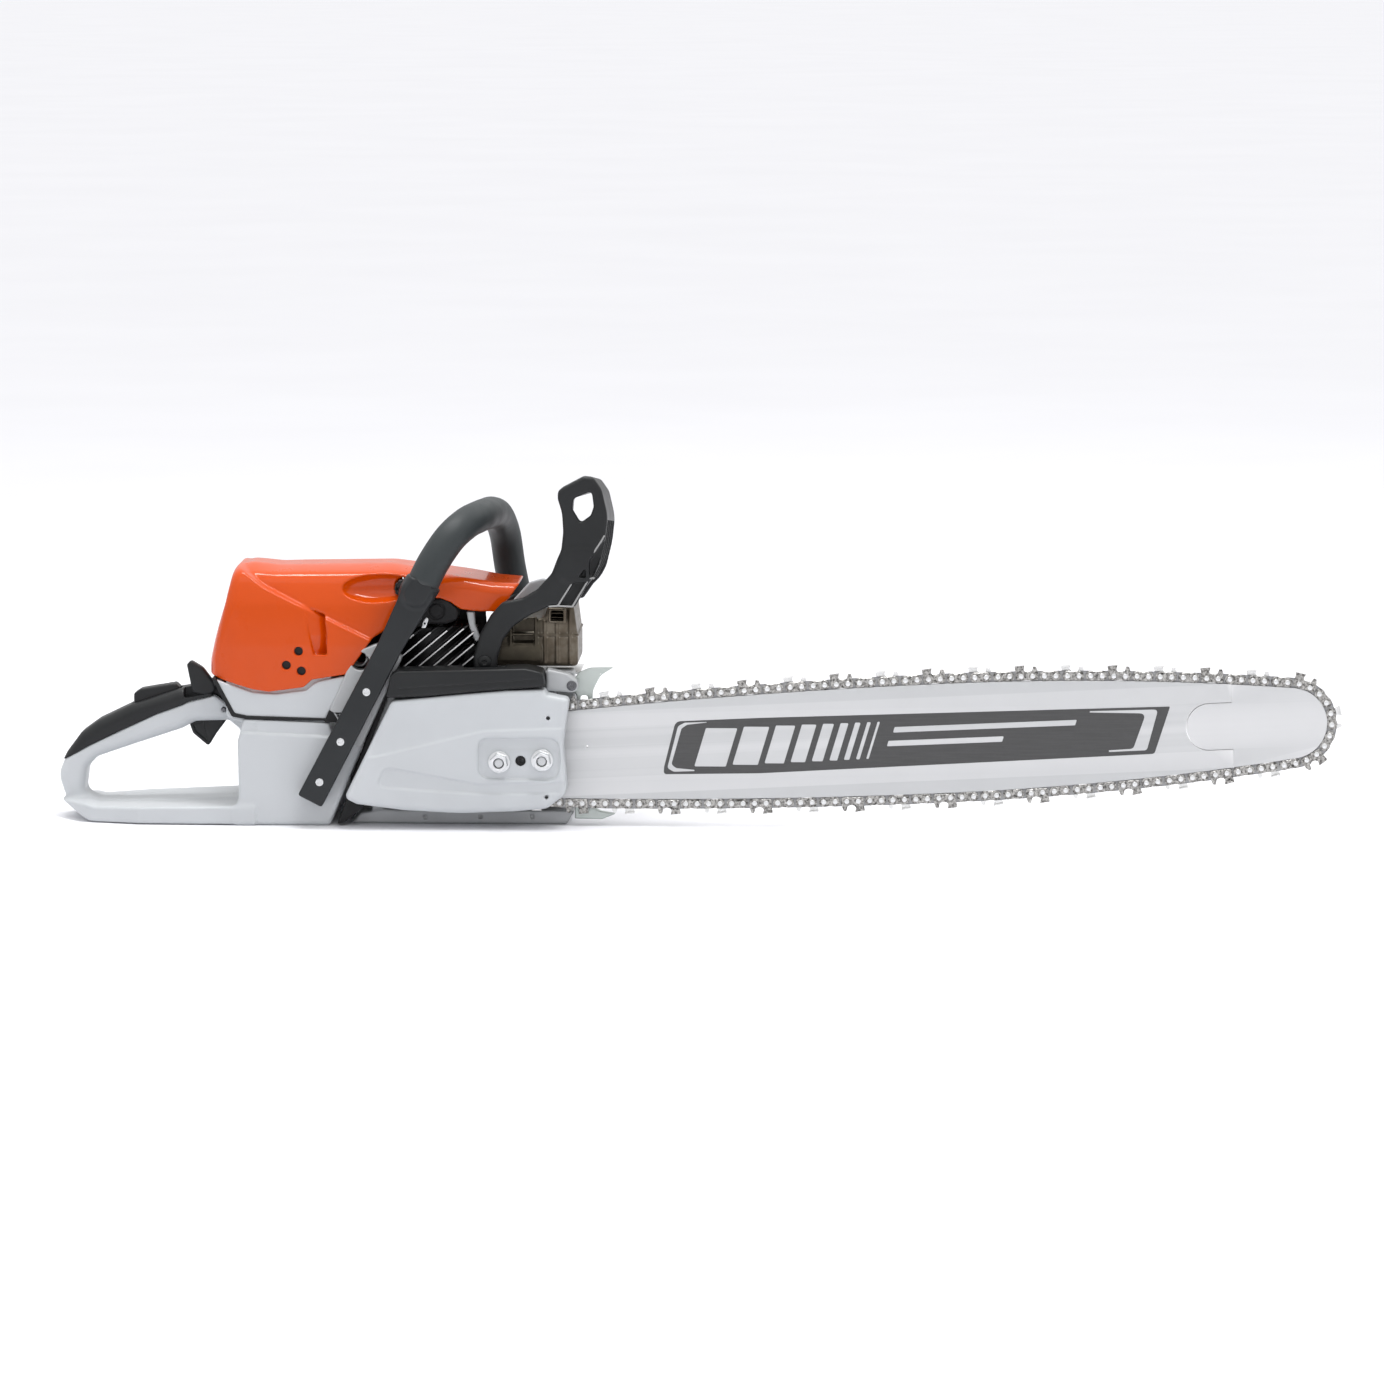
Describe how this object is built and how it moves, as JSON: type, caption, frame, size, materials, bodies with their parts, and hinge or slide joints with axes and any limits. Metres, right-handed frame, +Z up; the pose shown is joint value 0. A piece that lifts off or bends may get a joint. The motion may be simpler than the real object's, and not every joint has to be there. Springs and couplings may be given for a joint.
{
  "type": "petrol chainsaw",
  "caption": "Petrol chainsaw with guide bar and saw chain, rear and front handles, hand guard, engine and starter as separate parts.",
  "frame": {"origin": "centre of the bounding box on the ground plane", "axes": "+X from the rear handle to the bar tip, +Y to the starter side (the user's left), +Z up"},
  "size_m": [1.064, 0.2047, 0.2905],
  "materials": {
    "orange_plastic": "gloss moulded",
    "white_plastic": "satin moulded",
    "black_plastic": "fine grained",
    "grey_plastic": "satin moulded",
    "rubber": "matte",
    "handle_rubber": "soft matte",
    "bar_paint": "satin lacquer",
    "steel": "machined",
    "bright_steel": "zinc plated",
    "chain_steel": "polished, oiled",
    "spike_steel": "plain",
    "dark_steel": "hardened",
    "muffler_steel": "heat tinted",
    "magnesium": "cast and painted grey",
    "casting": "die cast",
    "aluminium_sheet": "rolled sheet",
    "black_casting": "black coated casting",
    "felt": "fleece",
    "cord": "braided"
  },
  "bodies": {
    "powerhead": {"brake_band": "dark_steel", "oil_pump": "white_plastic", "crankcase": "magnesium", "bar_stud_1": "steel", "bar_stud_2": "steel", "bar_nut_1": "bright_steel", "bar_nut_2": "bright_steel", "cylinder": "black_casting", "spark_plug": "steel", "spark_plug_boot": "rubber", "muffler": "muffler_steel", "exhaust_outlet": "muffler_steel", "heat_shield": "aluminium_sheet", "intake_boot": "rubber", "carburetor": "casting", "air_filter": "felt", "ignition_module": "black_plastic", "carburetor_box": "white_plastic", "top_cover": "orange_plastic", "fan_housing": "white_plastic", "tank_housing": "white_plastic", "rear_grip_cover": "black_plastic", "av_spring_rear": "steel", "av_spring_front": "steel", "handle_rail": "grey_plastic", "rail_screw_1": "bright_steel", "rail_screw_2": "bright_steel", "rail_screw_3": "bright_steel", "front_handle": "handle_rubber", "sprocket_cover": "white_plastic", "cover_trim": "black_plastic", "bumper_spike": "spike_steel", "spike_screw": "bright_steel", "chain_catcher": "spike_steel", "guard_pivot_right": "steel", "guard_pivot_left": "steel"},
    "crank": {"crankshaft": "steel", "flywheel": "casting", "clutch_hub": "dark_steel"},
    "drum": {"clutch_drum": "dark_steel", "rim_sprocket": "steel"},
    "piston": {"piston": "casting"},
    "bar": {"guide_bar": "bar_paint", "bar_nose": "bar_paint", "saw_chain": "chain_steel"},
    "nose_wheel": {"nose_sprocket": "steel"},
    "tensioner": {"tensioner_screw": "steel"},
    "trigger": {"throttle_trigger": "black_plastic"},
    "lockout": {"throttle_lockout": "black_plastic"},
    "master": {"master_lever": "black_plastic"},
    "guard": {"hand_guard": "black_plastic"},
    "lock_right": {"cover_lock_right": "black_plastic"},
    "lock_left": {"cover_lock_left": "black_plastic"},
    "fuel_cap": {"fuel_cap": "black_plastic"},
    "oil_cap": {"oil_cap": "black_plastic"},
    "grip": {"starter_grip": "rubber"},
    "pulley": {"starter_pulley": "black_plastic", "starter_rope": "cord"}
  },
  "joints": [
    {"name": "crank_turn", "type": "hinge", "parent": "powerhead", "child": "crank", "pos_m": [-0.21906, -0.01442, 0.05393], "axis": [0, 1, 0], "continuous": true},
    {"name": "drum_turn", "type": "hinge", "parent": "powerhead", "child": "drum", "pos_m": [-0.21906, -0.06442, 0.05393], "axis": [0, 1, 0], "continuous": true},
    {"name": "piston_slide", "type": "slide", "parent": "powerhead", "child": "piston", "axis": [0, 0, 1], "range_m": [-0.0365, 0]},
    {"name": "bar_adjust", "type": "slide", "parent": "powerhead", "child": "bar", "axis": [0.9988, 0, 0.0489], "range_m": [-0.005, 0]},
    {"name": "nose_turn", "type": "hinge", "parent": "bar", "child": "nose_wheel", "pos_m": [0.49155, -0.06642, 0.08869], "axis": [0, 1, 0], "continuous": true},
    {"name": "tensioner_turn", "type": "hinge", "parent": "powerhead", "child": "tensioner", "pos_m": [-0.13423, -0.05541, 0.031], "axis": [1, 0, 0], "range_deg": [-2260, 10]},
    {"name": "trigger_pull", "type": "hinge", "parent": "powerhead", "child": "trigger", "pos_m": [-0.40424, -0.01842, 0.088], "axis": [0, 1, 0], "range_deg": [0, 18], "stiffness_Nm_per_rad": 0.5, "springref_deg": -17.19},
    {"name": "lockout_press", "type": "hinge", "parent": "powerhead", "child": "lockout", "pos_m": [-0.43423, -0.01842, 0.105], "axis": [0, -1, 0], "range_deg": [0, 7], "stiffness_Nm_per_rad": 0.8, "springref_deg": -8.59},
    {"name": "master_switch", "type": "hinge", "parent": "powerhead", "child": "master", "pos_m": [-0.40824, -0.02942, 0.106], "axis": [0, 1, 0], "range_deg": [-10, 20]},
    {"name": "guard_brake", "type": "hinge", "parent": "powerhead", "child": "guard", "pos_m": [-0.17324, -0.01442, 0.137], "axis": [0, 1, 0], "range_deg": [0, 15]},
    {"name": "lock_right_turn", "type": "hinge", "parent": "powerhead", "child": "lock_right", "pos_m": [-0.24024, -0.05942, 0.197], "axis": [0, 1, 0], "range_deg": [0, 90]},
    {"name": "lock_left_turn", "type": "hinge", "parent": "powerhead", "child": "lock_left", "pos_m": [-0.24024, 0.03059, 0.197], "axis": [0, 1, 0], "range_deg": [0, 90]},
    {"name": "fuel_cap_turn", "type": "hinge", "parent": "powerhead", "child": "fuel_cap", "pos_m": [-0.34424, 0.04559, 0.046], "axis": [0, 1, 0], "range_deg": [0, 90]},
    {"name": "oil_cap_turn", "type": "hinge", "parent": "powerhead", "child": "oil_cap", "pos_m": [-0.12823, 0.05058, 0.042], "axis": [0, 1, 0], "range_deg": [0, 90]},
    {"name": "starter_pull", "type": "slide", "parent": "powerhead", "child": "grip", "axis": [0, 0, 1], "range_m": [0, 0.8], "stiffness_N_per_m": 10, "springref_m": -1},
    {"name": "pulley_turn", "type": "hinge", "parent": "powerhead", "child": "pulley", "pos_m": [-0.21906, 0.05559, 0.05393], "axis": [0, 1, 0], "range_deg": [-10, 1960]}
  ],
  "couplings": [
    {"joint": "nose_turn", "follows": "drum_turn", "ratio": 0.63636},
    {"joint": "tensioner_turn", "follows": "bar_adjust", "rad_per_m": 7854},
    {"joint": "pulley_turn", "follows": "starter_pull", "rad_per_m": 42.553}
  ]
}
